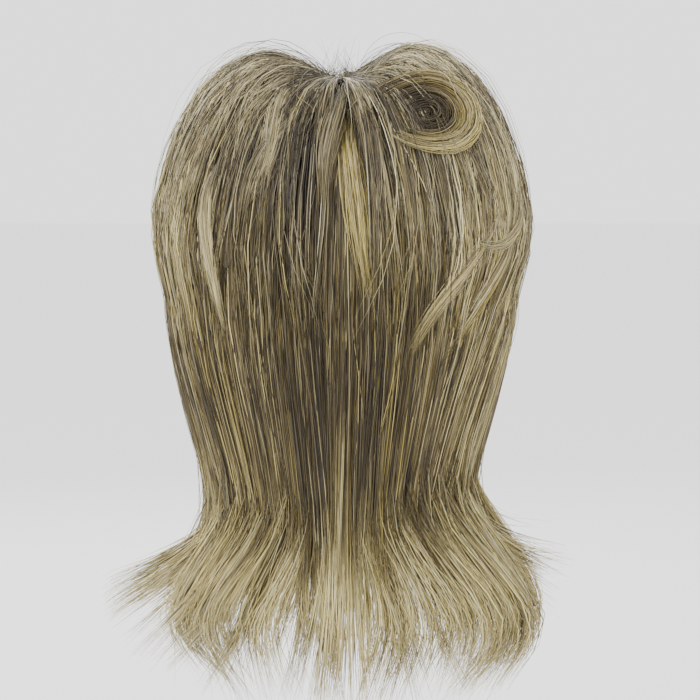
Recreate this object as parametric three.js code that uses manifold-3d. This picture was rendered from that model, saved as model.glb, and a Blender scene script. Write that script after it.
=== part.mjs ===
// A mullet wig: short and full on top, long and flicked out at the nape.
// A thin cap takes the head, and sheets of hair locks are sewn round it, each one a piece of its own.
// Millimetres. +Z is up, the face looks along -Y, and the wearer's left is +X.
// The origin is the inside top of the cap, which sits on the crown of the head.

import * as THREE from "three";
import Module from "manifold-3d";
import { mergeVertices } from "three/addons/utils/BufferGeometryUtils.js";

// The head that the cap is knitted for.
const headHalfWidth = 76;
const headHalfLength = 96;
const crownHeight = 100; // from the top of the head down to its widest level
const napeTuck = 0.14; // share by which the head narrows from its widest level to the nape

// The cap's wall, and how far its edge lies below the crown at each place.
const capWall = 1.8;
const foreheadEdge = 48;
const templeEdge = 108;
const earEdge = 92;
const napeEdge = 160;

// Clear space between pieces that touch in the real wig.
const gap = 0.5;

// How far the hair stands off the cap at its fullest.
const sideVolume = 33;
const backVolume = 30;
const frontVolume = 22;
const partingVolume = 11; // over the crown, in the dip between the two teased lobes
const underVolume = 8; // the long hair under the lobes, over the crown
const leftLobeRise = 14; // a lobe's top above the parting
const rightLobeRise = 18;
const partingHalfWidth = 1.5;

// How far the hair's ends hang below the crown.
const tailDrop = 345;
const leftFlickDrop = 298;
const rightFlickDrop = 287;
const cheekDrop = 182;
const lobeDrop = 122;
const lobeBackDrop = 130;
const fringeDrop = 88;

// How far the ends flick out past the waist of the tail.
const leftFlick = 66;
const rightFlick = 57;
const backFlick = 26;

// Thickness of the sheets of hair at their roots and ends, and the depth of the furrow between two locks.
const backLayerThickness = 9; // below the cap, where the tail lies under it
const tailRootThickness = 22;
const lobeRootThickness = 28;
const sideRootThickness = 25;
const endThickness = 1.4;
const furrow = 3;
const notch = 0.85; // how far a hem is cut up between two locks, as a share of its last row

// Single locks that lie on the others.
const streakWidth = 16;
const streakThickness = 4;
const curlWidth = 21;
const curlThickness = 7;

// Where the sheets of hair meet, in degrees turned from the middle of the back.
const lobeBack = 22;
const lobeFull = 70; // the lobes are fully teased from here on
const lobeFront = 146;
const backHalfAngle = 95;
const sideFront = 150;
const tailMiddle = 32;
const drawnBack = 0.85; // the front edge of the long hair at its ends, as a share of its angle at the ear

const degree = Math.PI / 180;
const sideReach = headHalfWidth + capWall + sideVolume;
const backReach = headHalfLength + capWall + backVolume;
const frontReach = headHalfLength + capWall + frontVolume;
const underTop = capWall + underVolume;
const lobeTop = capWall + partingVolume;

// Sections of the long hair, from the crown to the ends. Each half width is a share of sideReach, each
// depth a share of backReach or frontReach, and each drop a share of the way down to the ends there.
const longSections = [
  { side: 0.054, sideDown: 0.0, back: 0.375, backDown: 0.0, front: 0.46, frontDown: 0.0, flick: 0 },
  { side: 0.36, sideDown: 0.011, back: 0.595, backDown: 0.014, front: 0.626, frontDown: 0.03, flick: 0 },
  { side: 0.65, sideDown: 0.071, back: 0.782, backDown: 0.067, front: 0.768, frontDown: 0.114, flick: 0 },
  { side: 0.83, sideDown: 0.168, back: 0.915, backDown: 0.155, front: 0.86, frontDown: 0.239, flick: 0 },
  { side: 0.912, sideDown: 0.292, back: 0.985, backDown: 0.267, front: 0.9, frontDown: 0.374, flick: 0 },
  { side: 0.939, sideDown: 0.415, back: 0.99, backDown: 0.38, front: 0.9, frontDown: 0.494, flick: 0 },
  { side: 0.885, sideDown: 0.552, back: 0.931, backDown: 0.493, front: 0.885, frontDown: 0.599, flick: 0 },
  { side: 0.795, sideDown: 0.688, back: 0.837, backDown: 0.605, front: 0.87, frontDown: 0.703, flick: 0 },
  { side: 0.712, sideDown: 0.812, back: 0.767, backDown: 0.718, front: 0.85, frontDown: 0.807, flick: 0.01 },
  { side: 0.7, sideDown: 0.883, back: 0.742, backDown: 0.817, front: 0.835, frontDown: 0.885, flick: 0.17 },
  { side: 0.7, sideDown: 0.942, back: 0.74, backDown: 0.907, front: 0.826, frontDown: 0.948, flick: 0.53 },
  { side: 0.7, sideDown: 1.0, back: 0.74, backDown: 1.0, front: 0.82, frontDown: 1.0, flick: 1 },
];

// Sections of the short hair on top, from the parting to the ends. rise is a share of the lobe's rise.
const shortSections = [
  { side: 0.0, sideDown: 0.0, back: 0.39, backDown: 0.0, front: 0.5, frontDown: 0.0, rise: 0 },
  { side: 0.225, sideDown: 0.004, back: 0.53, backDown: 0.01, front: 0.62, frontDown: 0.026, rise: 0.7 },
  { side: 0.47, sideDown: 0.006, back: 0.7, backDown: 0.05, front: 0.77, frontDown: 0.077, rise: 1 },
  { side: 0.72, sideDown: 0.083, back: 0.845, backDown: 0.18, front: 0.885, frontDown: 0.171, rise: 0.6 },
  { side: 0.9, sideDown: 0.301, back: 0.955, backDown: 0.405, front: 0.968, frontDown: 0.333, rise: 0.2 },
  { side: 1.0, sideDown: 0.577, back: 1.025, backDown: 0.65, front: 1.0, frontDown: 0.563, rise: 0 },
  { side: 0.99, sideDown: 0.792, back: 1.04, backDown: 0.832, front: 0.977, frontDown: 0.802, rise: 0 },
  { side: 0.93, sideDown: 1.0, back: 1.03, backDown: 1.0, front: 0.918, frontDown: 1.0, rise: 0 },
];

// The cap's edge, from the middle of the nape round to the middle of the forehead.
const capEdge = [
  { angle: 0, drop: napeEdge },
  { angle: 38, drop: napeEdge },
  { angle: 84, drop: earEdge },
  { angle: 106, drop: templeEdge },
  { angle: 126, drop: (templeEdge + foreheadEdge) / 2 },
  { angle: 152, drop: foreheadEdge },
  { angle: 180, drop: foreheadEdge },
];

const wasm = await Module();
wasm.setup();

const clamp = (value, low, high) => Math.min(high, Math.max(low, value));
const mix = (a, b, share) => a + (b - a) * share;
const smoothStep = (low, high, value) => {
  const t = clamp((value - low) / (high - low), 0, 1);
  return t * t * (3 - 2 * t);
};

// A column of a section table at a share of the way down it, on a smooth curve through the rows.
function column(sections, name, share) {
  const last = sections.length - 1;
  const place = clamp(share, 0, 1) * last;
  const i = Math.min(Math.floor(place), last - 1);
  const t = place - i;
  const at = (row) => sections[clamp(row, 0, last)][name];
  const before = i > 0 ? at(i - 1) : 2 * at(0) - at(1);
  const after = i + 2 <= last ? at(i + 2) : 2 * at(last) - at(last - 1);
  const inward = (at(i + 1) - before) / 2;
  const outward = (after - at(i)) / 2;
  return (
    at(i) * (1 + t * t * (2 * t - 3)) +
    inward * t * (1 - t) * (1 - t) +
    at(i + 1) * t * t * (3 - 2 * t) -
    outward * t * t * (1 - t)
  );
}

// How much a direction belongs to the left, right, back and front. Angles turn from the back to the left.
function quarters(angle) {
  const s = Math.sin(angle * degree);
  const c = Math.cos(angle * degree);
  return {
    s,
    c,
    left: Math.max(s, 0) ** 2,
    right: Math.max(-s, 0) ** 2,
    back: Math.max(c, 0) ** 2,
    front: Math.max(-c, 0) ** 2,
  };
}

// A point on the outside of the long hair.
function longHair(angle, share) {
  const q = quarters(angle);
  const at = (name) => column(longSections, name, share);
  const flick = at("flick");
  const halfWidth = sideReach * at("side") + flick * (q.s > 0 ? leftFlick : rightFlick);
  const depth = q.c > 0 ? backReach * at("back") + flick * backFlick : frontReach * at("front");
  const down =
    q.left * at("sideDown") * (leftFlickDrop + underTop) +
    q.right * at("sideDown") * (rightFlickDrop + underTop) +
    q.back * at("backDown") * (tailDrop + underTop) +
    q.front * at("frontDown") * (cheekDrop + underTop);
  return new THREE.Vector3(halfWidth * q.s, depth * q.c, underTop - down);
}

// A point on the outside of the short hair.
function shortHair(angle, share) {
  const q = quarters(angle);
  const at = (name) => column(shortSections, name, share);
  const depth = q.c > 0 ? backReach * at("back") : frontReach * at("front");
  const down =
    (q.left + q.right) * at("sideDown") * (lobeDrop + lobeTop) +
    q.back * at("backDown") * (lobeBackDrop + lobeTop) +
    q.front * at("frontDown") * (fringeDrop + lobeTop);
  const turned = Math.abs(((angle + 180) % 360) - 180);
  const teased = smoothStep(lobeBack, lobeFull, turned) * (1 - 0.3 * q.front);
  const rise = at("rise") * (q.s > 0 ? leftLobeRise : rightLobeRise) * teased;
  const halfWidth = sideReach * at("side") + partingHalfWidth * (1 - share);
  return new THREE.Vector3(halfWidth * q.s, depth * q.c, lobeTop + rise - down);
}

// The outward normal of a hair surface, from its neighbours along and across.
function normalOf(surface, angle, share) {
  const stepAngle = 1;
  const stepShare = 0.01;
  const down = clamp(share + stepShare, 0, 1);
  const up = clamp(share - stepShare, 0, 1);
  const along = surface(angle, down).sub(surface(angle, up));
  const across = surface(angle + stepAngle, share).sub(surface(angle - stepAngle, share));
  return across.cross(along).normalize();
}

// A point on the head, grown outwards by a wall. The dome is an ellipsoid, and the head narrows below it.
function headPoint(angle, drop, grown) {
  const q = quarters(angle);
  const level = clamp((crownHeight - drop) / crownHeight, 0, 1);
  const below = clamp((drop - crownHeight) / (napeEdge - crownHeight), 0, 1.5);
  const around = Math.sqrt(1 - level * level) * (1 - napeTuck * below * below);
  const z = drop < crownHeight ? (crownHeight + grown) * level - crownHeight : -drop;
  return new THREE.Vector3(
    (headHalfWidth + grown) * around * q.s,
    (headHalfLength + grown) * around * q.c,
    z,
  );
}

// A solid from grids of points that share their edges: faces are triangles of indices into points.
function solidOf(points, faces) {
  const geometry = new THREE.BufferGeometry();
  const positions = new Float32Array(points.flatMap((p) => [p.x, p.y, p.z]));
  geometry.setAttribute("position", new THREE.BufferAttribute(positions, 3));
  geometry.setIndex(faces.flat());
  const merged = mergeVertices(geometry, 1e-4);
  const index = Array.from(merged.index.array);
  const kept = [];
  for (let i = 0; i < index.length; i += 3) {
    const [a, b, c] = index.slice(i, i + 3);
    if (a !== b && b !== c && c !== a) kept.push(a, b, c);
  }
  return new wasm.Manifold(
    new wasm.Mesh({
      numProp: 3,
      vertProperties: merged.attributes.position.array,
      triVerts: new Uint32Array(kept),
    }),
  );
}

// Two faces for one cell of a grid, wound so that a to b to c to d turns anticlockwise seen from outside.
const cell = (a, b, c, d) => [
  [a, b, c],
  [a, c, d],
];

// A closed body from rings of points with the same count, each ring anticlockwise seen from the last.
function loft(rings) {
  const count = rings[0].length;
  const faces = [];
  for (let r = 0; r + 1 < rings.length; r++) {
    for (let i = 0; i < count; i++) {
      const j = (i + 1) % count;
      faces.push(...cell(r * count + i, r * count + j, (r + 1) * count + j, (r + 1) * count + i));
    }
  }
  const lastRing = (rings.length - 1) * count;
  for (let i = 1; i + 1 < count; i++) {
    faces.push([0, i + 1, i]);
    faces.push([lastRing, lastRing + i, lastRing + i + 1]);
  }
  return solidOf(rings.flat(), faces);
}

// The largest body of a solid: a cut can leave a sliver behind.
function largest(solid) {
  return solid.decompose().reduce((a, b) => (b.volume() > a.volume() ? b : a));
}

const capColumns = 36;
const domeRows = 9;

// Points round the head, at the drop that a function gives for each direction.
function headRing(dropAt, grown) {
  return Array.from({ length: capColumns }, (_, i) => {
    const angle = (360 / capColumns) * i;
    return headPoint(angle, dropAt(angle), grown);
  });
}

// The room that the head and the cap take, which no hair may enter.
function headRoom() {
  const grown = capWall + 2 * gap;
  const domeLevels = Array.from(
    { length: domeRows },
    (_, i) => crownHeight * (1 - Math.cos(((i + 0.4) / domeRows) * 90 * degree)),
  );
  const lowerLevels = [0, 0.35, 0.7, 1, 1.25].map((share) => mix(crownHeight, napeEdge, share));
  const rings = [...domeLevels, ...lowerLevels].map((drop) => headRing(() => drop, grown));
  return loft(rings);
}

// The drop of the cap's edge in a direction, on straight lines eased through the table's rows.
function edgeDrop(angle) {
  const turned = Math.abs(((angle + 180) % 360) - 180);
  const after = capEdge.findIndex((row) => row.angle >= turned);
  const [a, b] = [capEdge[Math.max(after - 1, 0)], capEdge[after]];
  return mix(a.drop, b.drop, smoothStep(a.angle, Math.max(b.angle, a.angle + 1), turned));
}

// The cap: an open dome of even wall, whose edge follows the hairline and leaves the ears free.
function capShell() {
  const shares = Array.from({ length: domeRows }, (_, i) => ((i + 1) / domeRows) ** 1.6);
  const outer = shares.map((share) => headRing((angle) => share * edgeDrop(angle), capWall));
  const inner = shares.map((share) => headRing((angle) => share * edgeDrop(angle), 0));
  const points = [...outer.flat(), ...inner.flat()];
  const faces = [];
  const wall = domeRows * capColumns;
  for (let r = 0; r + 1 < domeRows; r++) {
    for (let i = 0; i < capColumns; i++) {
      const j = (i + 1) % capColumns;
      const [a, b] = [r * capColumns + i, r * capColumns + j];
      const [c, d] = [b + capColumns, a + capColumns];
      faces.push(...cell(a, b, c, d));
      faces.push(...cell(wall + a, wall + d, wall + c, wall + b));
    }
  }
  const rim = (domeRows - 1) * capColumns;
  for (let i = 0; i < capColumns; i++) {
    const j = (i + 1) % capColumns;
    faces.push(...cell(rim + i, rim + j, wall + rim + j, wall + rim + i));
  }
  const outerTop = points.push(new THREE.Vector3(0, 0, capWall)) - 1;
  const innerTop = points.push(new THREE.Vector3(0, 0, 0)) - 1;
  for (let i = 0; i < capColumns; i++) {
    const j = (i + 1) % capColumns;
    faces.push([outerTop, j, i]);
    faces.push([innerTop, wall + i, wall + j]);
  }
  return solidOf(points, faces);
}

const headCore = new THREE.Vector3(0, 0, -crownHeight);
const roomMargin = 0.6; // columns by which a sheet's room reaches past its sides

// The places along a sheet's locks: rows at even shares, so that sheets over each other stay parallel.
const rowShare = ({ root, end, rows, from, to, locks }, i, r) => {
  return mix(root, end(mix(from, to, i / (2 * locks))), r / rows);
};

// The angle of a sheet's column. Each lock has a ridge in its middle and shares a valley with the next.
const columnAngle = ({ from, to, locks, drawn }, i, share) => {
  return mix(from, to, i / (2 * locks)) * (drawn ? drawn(share) : 1);
};

// A sheet of locks fused side by side, with furrows between them and a hem cut into points. from and to
// are its angles, and root and end its shares down the hair. sunk gives how deep its outside lies under the
// hair's surface, and thickness its wall, from the share and the way along the sheet. Both are measured
// square to the surface, or towards the middle of the head where the hair is teased.
function lockSheet(sheet) {
  const { surface, rows } = sheet;
  const columns = sheet.locks * 2;
  const outer = [];
  const inner = [];
  for (let i = 0; i <= columns; i++) {
    const valley = i % 2 === 0;
    const uneven = 0.3 + 0.3 * Math.sin(2.4 * i + sheet.from); // no two neighbours end level
    const short = valley ? notch : notch * uneven;
    const inset = (i === 0 ? gap : 0) - (i === columns ? gap : 0);
    for (let r = 0; r <= rows; r++) {
      const share = rowShare(sheet, i, r === rows ? r - short : r);
      const angle = columnAngle(sheet, i, share);
      const normal = normalOf(surface, angle, share);
      const across = surface(angle + 1, share).sub(surface(angle - 1, share)).normalize();
      const thick = Math.max(sheet.thickness(share, r / rows), endThickness);
      const fade = smoothStep(0, 0.25, r / rows); // the locks part on their way out of the root
      const dip = valley ? Math.min(furrow * fade, thick - endThickness) : 0;
      const skin = surface(angle, share).addScaledVector(across, inset);
      const inward = sheet.teased ? headCore.clone().sub(skin).normalize() : normal.negate();
      outer.push(skin.clone().addScaledVector(inward, sheet.sunk(share) + dip));
      inner.push(skin.clone().addScaledVector(inward, sheet.sunk(share) + thick));
    }
  }
  const stride = rows + 1;
  const wall = outer.length;
  const faces = [];
  for (let i = 0; i < columns; i++) {
    for (let r = 0; r < rows; r++) {
      const [a, b] = [i * stride + r, i * stride + r + 1];
      const [c, d] = [b + stride, a + stride];
      faces.push(...cell(a, d, c, b));
      faces.push(...cell(wall + a, wall + b, wall + c, wall + d));
    }
    const [top, topNext] = [i * stride, (i + 1) * stride];
    const [tip, tipNext] = [top + rows, topNext + rows];
    faces.push(...cell(top, wall + top, wall + topNext, topNext));
    faces.push(...cell(tip, tipNext, wall + tipNext, wall + tip));
  }
  for (let r = 0; r < rows; r++) {
    const [a, b] = [r, r + 1];
    const [c, d] = [columns * stride + r, columns * stride + r + 1];
    faces.push(...cell(a, b, wall + b, wall + a));
    faces.push(...cell(c, wall + c, wall + d, d));
  }
  return solidOf([...outer, ...inner], faces);
}

// The room that a sheet and all that lies under it take, so that what covers the sheet rests on it.
function roomOf(sheet) {
  const { surface, rows, locks } = sheet;
  const columns = Array.from({ length: locks * 2 + 1 }, (_, i) => i);
  const rings = [-roomMargin, ...columns, 2 * locks + roomMargin].map((i) => {
    const shares = Array.from({ length: rows + 1 }, (_, r) => rowShare(sheet, i, rows - r));
    const skin = [...shares, 0].map((share) => {
      const angle = columnAngle(sheet, i, share);
      return surface(angle, share).addScaledVector(normalOf(surface, angle, share), gap);
    });
    return [headCore, ...skin];
  });
  return loft(rings);
}

// One lock that lies on the hair along a path of angles and shares, wide in its middle and narrow at its ends.
function lyingLock({ surface, path, width, thickness, lift }) {
  const curve = new THREE.CatmullRomCurve3(
    path.map(({ angle, share }) => {
      return surface(angle, share).addScaledVector(normalOf(surface, angle, share), lift);
    }),
  );
  const normals = new THREE.CatmullRomCurve3(
    path.map(({ angle, share }) => normalOf(surface, angle, share)),
  );
  const steps = path.length * 3;
  const section = [
    { across: -0.5, up: 0 },
    { across: 0.5, up: 0 },
    { across: 0.42, up: 0.6 },
    { across: 0.15, up: 1 },
    { across: -0.15, up: 1 },
    { across: -0.42, up: 0.6 },
  ];
  const rings = Array.from({ length: steps + 1 }, (_, k) => {
    const t = k / steps;
    const full = 0.16 + 0.84 * Math.sin(Math.PI * clamp(t * 0.86 + 0.07, 0, 1));
    const up = normals.getPoint(t).normalize();
    const side = up.clone().cross(curve.getTangent(t)).normalize();
    return section.map((corner) =>
      curve
        .getPoint(t)
        .addScaledVector(side, corner.across * width * full)
        .addScaledVector(up, corner.up * thickness * full),
    );
  });
  return loft(rings);
}

// How deep the back layer reaches under the hair's surface. It goes to the cap at the crown, thins where
// the tail starts under it, and runs out above the flick.
const rootShare = 0.02;
const backLayerEnd = 0.8;
const backLayerRows = 13;
const tailRow = 7; // the row of the back layer under which the tail starts
const tailStart = mix(rootShare, backLayerEnd, tailRow / backLayerRows);
const rowBefore = mix(rootShare, backLayerEnd, (tailRow - 1) / backLayerRows);
function backLayerDepth(share) {
  const toCap = backVolume + capWall;
  const fallen = mix(toCap, backLayerThickness, smoothStep(rowBefore, tailStart, share));
  return mix(fallen, endThickness, smoothStep(tailStart, backLayerEnd, share));
}

// How far the tail's outside lies under the hair's surface: beneath the back layer, then free of it.
function tailSunk(share) {
  const covered = backLayerDepth(share) + 3 * gap;
  return covered * (1 - smoothStep(backLayerEnd, backLayerEnd + 0.1, share));
}

const lobeRows = 9;
const head = headRoom();

// The long hair's angles on its way down: from the ear its front edge draws back towards the nape.
const drawnTo = (share) => mix(1, drawnBack, smoothStep(0.35, 0.75, share));

// A sheet with the room of the head, the cap and the sheets under it cut away.
function fitted(sheet, ...covered) {
  const cut = [head, ...covered].reduce((left, room) => left.subtract(room), lockSheet(sheet));
  return largest(cut);
}

// Thickness that falls from a root's to the ends'.
const taper = (rootThickness) => (share, along) => mix(rootThickness, endThickness, along);

// The long hair that falls from the crown to the nape.
const backSheet = {
  surface: longHair,
  from: -backHalfAngle,
  to: backHalfAngle,
  locks: 17,
  rows: backLayerRows,
  root: rootShare,
  end: () => backLayerEnd,
  drawn: drawnTo,
  sunk: () => 0,
  thickness: backLayerDepth,
};

// The tail, sewn to the nape of the cap under the back layer, with ends that flick out.
const tailSheet = (from, to) => ({
  surface: longHair,
  from,
  to,
  locks: 7,
  rows: 11,
  root: tailStart + 0.02,
  end: () => 1,
  drawn: drawnTo,
  sunk: tailSunk,
  thickness: taper(tailRootThickness),
});

// The hair over an ear, from under the lobe to the cheek. It is longest behind the ear.
const sideRearEnd = 0.72;
const sideFrontEnd = 0.62;
const sideSheet = (from, to) => ({
  surface: longHair,
  from,
  to,
  locks: 6,
  rows: 8,
  root: 0.16,
  end: (angle) => mix(sideRearEnd, sideFrontEnd, smoothStep(backHalfAngle, sideFront, Math.abs(angle))),
  sunk: () => 0,
  thickness: taper(sideRootThickness),
});

// A teased lobe of the crown, over the other layers, from the parting out and down.
const lobeSheet = (from, to) => ({
  surface: shortHair,
  from,
  to,
  locks: 9,
  rows: lobeRows,
  root: 0,
  end: () => 1,
  sunk: () => 0,
  teased: true,
  thickness: (share) => mix(lobeRootThickness, endThickness, smoothStep(0.25, 1, share)),
});

// The fringe: short locks from the front of the parting over the forehead.
const fringeSheet = {
  ...lobeSheet(lobeFront, 360 - lobeFront),
  locks: 7,
  rows: lobeRows - 1,
  root: 1 / lobeRows,
};

const leftSide = sideSheet(backHalfAngle, sideFront);
const rightSide = sideSheet(-sideFront, -backHalfAngle);
const backRoom = roomOf(backSheet);
const leftRoom = roomOf(leftSide);
const rightRoom = roomOf(rightSide);

// The light streak that lies on the back layer, below the parting.
const streakPath = [
  { angle: -2, share: 0.2 },
  { angle: -4.5, share: 0.27 },
  { angle: -6, share: 0.33 },
  { angle: -6.5, share: 0.39 },
  { angle: -7, share: 0.45 },
];

// The curl that turns over on the back of the right lobe.
const curlPath = [
  { angle: -30, share: 0.17 },
  { angle: -46, share: 0.27 },
  { angle: -59, share: 0.37 },
  { angle: -63, share: 0.47 },
  { angle: -57, share: 0.54 },
  { angle: -43, share: 0.57 },
  { angle: -29, share: 0.53 },
];

const solids = {
  wig_cap: capShell(),
  back_layer: fitted(backSheet),
  tail_left: fitted(tailSheet(tailMiddle, backHalfAngle)),
  tail_middle: fitted(tailSheet(-tailMiddle, tailMiddle)),
  tail_right: fitted(tailSheet(-backHalfAngle, -tailMiddle)),
  side_layer_left: fitted(leftSide),
  side_layer_right: fitted(rightSide),
  crown_lobe_left: fitted(lobeSheet(lobeBack, lobeFront), backRoom, leftRoom),
  crown_lobe_right: fitted(lobeSheet(-lobeFront, -lobeBack), backRoom, rightRoom),
  fringe: fitted(fringeSheet, leftRoom, rightRoom),
  light_streak: lyingLock({
    surface: longHair,
    path: streakPath,
    width: streakWidth,
    thickness: streakThickness,
    lift: gap,
  }),
  crown_curl: lyingLock({
    surface: shortHair,
    path: curlPath,
    width: curlWidth,
    thickness: curlThickness,
    lift: 2 * gap,
  }),
};

// Colours and finish of the fibre.
const finishes = {
  cap: new THREE.MeshStandardMaterial({ color: 0x3a3129, roughness: 0.9, metalness: 0 }),
  ash: new THREE.MeshStandardMaterial({ color: 0x7b6c50, roughness: 0.5, metalness: 0 }),
  blonde: new THREE.MeshStandardMaterial({ color: 0xb3a072, roughness: 0.45, metalness: 0 }),
  lightBlonde: new THREE.MeshStandardMaterial({ color: 0xc9b888, roughness: 0.4, metalness: 0 }),
};
const finishOf = {
  wig_cap: finishes.cap,
  back_layer: finishes.ash,
  tail_left: finishes.blonde,
  tail_middle: finishes.blonde,
  tail_right: finishes.blonde,
  side_layer_left: finishes.ash,
  side_layer_right: finishes.ash,
  crown_lobe_left: finishes.ash,
  crown_lobe_right: finishes.ash,
  fringe: finishes.blonde,
  light_streak: finishes.lightBlonde,
  crown_curl: finishes.lightBlonde,
};

const wig = new THREE.Group();
wig.name = "mullet_wig";
for (const [name, solid] of Object.entries(solids)) {
  const made = solid.getMesh();
  const geometry = new THREE.BufferGeometry();
  geometry.setAttribute("position", new THREE.BufferAttribute(made.vertProperties, 3));
  geometry.setIndex(new THREE.BufferAttribute(made.triVerts, 1));
  geometry.computeVertexNormals();
  const mesh = new THREE.Mesh(geometry, finishOf[name]);
  mesh.name = name;
  wig.add(mesh);
}

export default wig;
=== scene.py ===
"""A mullet wig: short and full on top, long and flicked out at the nape.

Metres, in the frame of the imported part: +Z up, the face looks along -Y, the wearer's left is +X, and the
origin is the inside top of the cap. Every hair is a thin closed tube that lies on one of two surfaces, the
long hair's or the short hair's, and each sheet of locks has a dense bed of fibre under its loose hairs.
"""

import bpy
import numpy as np
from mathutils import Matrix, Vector


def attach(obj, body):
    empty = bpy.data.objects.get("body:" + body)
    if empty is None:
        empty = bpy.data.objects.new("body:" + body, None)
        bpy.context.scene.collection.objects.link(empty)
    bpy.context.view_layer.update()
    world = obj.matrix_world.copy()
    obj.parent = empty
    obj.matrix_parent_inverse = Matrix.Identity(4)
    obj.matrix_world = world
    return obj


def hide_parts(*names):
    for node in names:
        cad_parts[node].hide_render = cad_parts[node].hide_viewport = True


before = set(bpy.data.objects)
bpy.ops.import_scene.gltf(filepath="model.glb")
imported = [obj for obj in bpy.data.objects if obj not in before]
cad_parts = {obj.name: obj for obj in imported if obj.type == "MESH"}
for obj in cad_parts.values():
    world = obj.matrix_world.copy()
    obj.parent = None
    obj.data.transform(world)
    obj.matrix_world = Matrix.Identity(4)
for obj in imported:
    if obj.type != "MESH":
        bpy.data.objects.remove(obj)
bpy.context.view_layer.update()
MM = 0.001


# The cap
# A dome of fine dark stretch net that takes the head, with the wefts of hair stitched to it in rows from
# ear to ear. It is seen from below and in front, inside the hair.
def node_material(name, build):
    """A material whose surface is what build(tree, links, shader) makes of the plain shader."""
    material = bpy.data.materials.new(name)
    material.use_nodes = True
    tree = material.node_tree
    build(tree.nodes, tree.links, tree.nodes["Principled BSDF"])
    return material


def stretch_net(nodes, links, shader):
    """Two crossed sets of threads, with the stitched rows of wefts as darker bands."""
    mesh_pitch, row_pitch = 2.2 * MM, 11 * MM
    waves_per_metre = 2 * np.pi / 20
    place = nodes.new("ShaderNodeTexCoord")
    heights = []
    for turn in (0.7, -0.7):
        lie = nodes.new("ShaderNodeMapping")
        lie.inputs["Rotation"].default_value = (turn, turn, turn)
        threads = nodes.new("ShaderNodeTexWave")
        threads.inputs["Scale"].default_value = waves_per_metre / mesh_pitch
        threads.inputs["Distortion"].default_value = 0.6
        links.new(place.outputs["Object"], lie.inputs["Vector"])
        links.new(lie.outputs["Vector"], threads.inputs["Vector"])
        heights.append(threads.outputs["Fac"])
    crossed = nodes.new("ShaderNodeMath")
    crossed.operation = "MAXIMUM"
    links.new(heights[0], crossed.inputs[0])
    links.new(heights[1], crossed.inputs[1])
    wefts = nodes.new("ShaderNodeTexWave")
    wefts.bands_direction = "Z"
    wefts.inputs["Scale"].default_value = waves_per_metre / row_pitch
    wefts.inputs["Distortion"].default_value = 0.4
    links.new(place.outputs["Object"], wefts.inputs["Vector"])
    colour = nodes.new("ShaderNodeValToRGB")
    colour.color_ramp.elements[0].color = (0.012, 0.008, 0.005, 1)
    colour.color_ramp.elements[1].color = (0.075, 0.055, 0.038, 1)
    both = nodes.new("ShaderNodeMath")
    both.operation = "MULTIPLY"
    links.new(crossed.outputs["Value"], both.inputs[0])
    links.new(wefts.outputs["Fac"], both.inputs[1])
    links.new(both.outputs["Value"], colour.inputs["Fac"])
    links.new(colour.outputs["Color"], shader.inputs["Base Color"])
    bump = nodes.new("ShaderNodeBump")
    bump.inputs["Strength"].default_value = 0.6
    bump.inputs["Distance"].default_value = 0.3 * MM
    links.new(both.outputs["Value"], bump.inputs["Height"])
    links.new(bump.outputs["Normal"], shader.inputs["Normal"])
    shader.inputs["Roughness"].default_value = 0.85


net = node_material("stretch_net", stretch_net)
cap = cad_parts["wig_cap"]
cap.data.materials.clear()
cap.data.materials.append(net)


# The back layer
# The long hair from the crown down over the nape: ash brown, darkest in the middle, straight and smooth,
# with pale lights through it. It is machine-sewn fibre in rows, here a bed of fibre under loose hairs.
HEAD_HALF_WIDTH, HEAD_HALF_LENGTH = 76 * MM, 96 * MM
CAP_WALL = 1.8 * MM
SIDE_REACH = HEAD_HALF_WIDTH + CAP_WALL + 33 * MM
BACK_REACH = HEAD_HALF_LENGTH + CAP_WALL + 30 * MM
FRONT_REACH = HEAD_HALF_LENGTH + CAP_WALL + 22 * MM
UNDER_TOP = CAP_WALL + 8 * MM
TAIL_DROP, LEFT_FLICK_DROP, RIGHT_FLICK_DROP, CHEEK_DROP = 345 * MM, 298 * MM, 287 * MM, 182 * MM
LEFT_FLICK, RIGHT_FLICK, BACK_FLICK = 66 * MM, 57 * MM, 26 * MM
BACK_HALF_ANGLE, SIDE_FRONT, TAIL_MIDDLE, DRAWN_BACK = 95, 150, 32, 0.85

# A row for each section from the crown to the ends, as shares of the reaches and of the drops.
SECTION = [(name, float) for name in ("side", "side_down", "back", "back_down", "front", "front_down", "flick")]
LONG = np.array(
    [
        (0.054, 0.000, 0.375, 0.000, 0.460, 0.000, 0.00),
        (0.360, 0.011, 0.595, 0.014, 0.626, 0.030, 0.00),
        (0.650, 0.071, 0.782, 0.067, 0.768, 0.114, 0.00),
        (0.830, 0.168, 0.915, 0.155, 0.860, 0.239, 0.00),
        (0.912, 0.292, 0.985, 0.267, 0.900, 0.374, 0.00),
        (0.939, 0.415, 0.990, 0.380, 0.900, 0.494, 0.00),
        (0.885, 0.552, 0.931, 0.493, 0.885, 0.599, 0.00),
        (0.795, 0.688, 0.837, 0.605, 0.870, 0.703, 0.00),
        (0.712, 0.812, 0.767, 0.718, 0.850, 0.807, 0.01),
        (0.700, 0.883, 0.742, 0.817, 0.835, 0.885, 0.17),
        (0.700, 0.942, 0.740, 0.907, 0.826, 0.948, 0.53),
        (0.700, 1.000, 0.740, 1.000, 0.820, 1.000, 1.00),
    ],
    dtype=SECTION,
)


def ease(low, high, value):
    """A smooth step from 0 at low to 1 at high: t squared times (3 - 2t)."""
    t = np.clip((value - low) / (high - low), 0, 1)
    return t * t * (3 - 2 * t)


def mix(a, b, share):
    """The value that lies a share of the way from a to b."""
    return a + (b - a) * share


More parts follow.
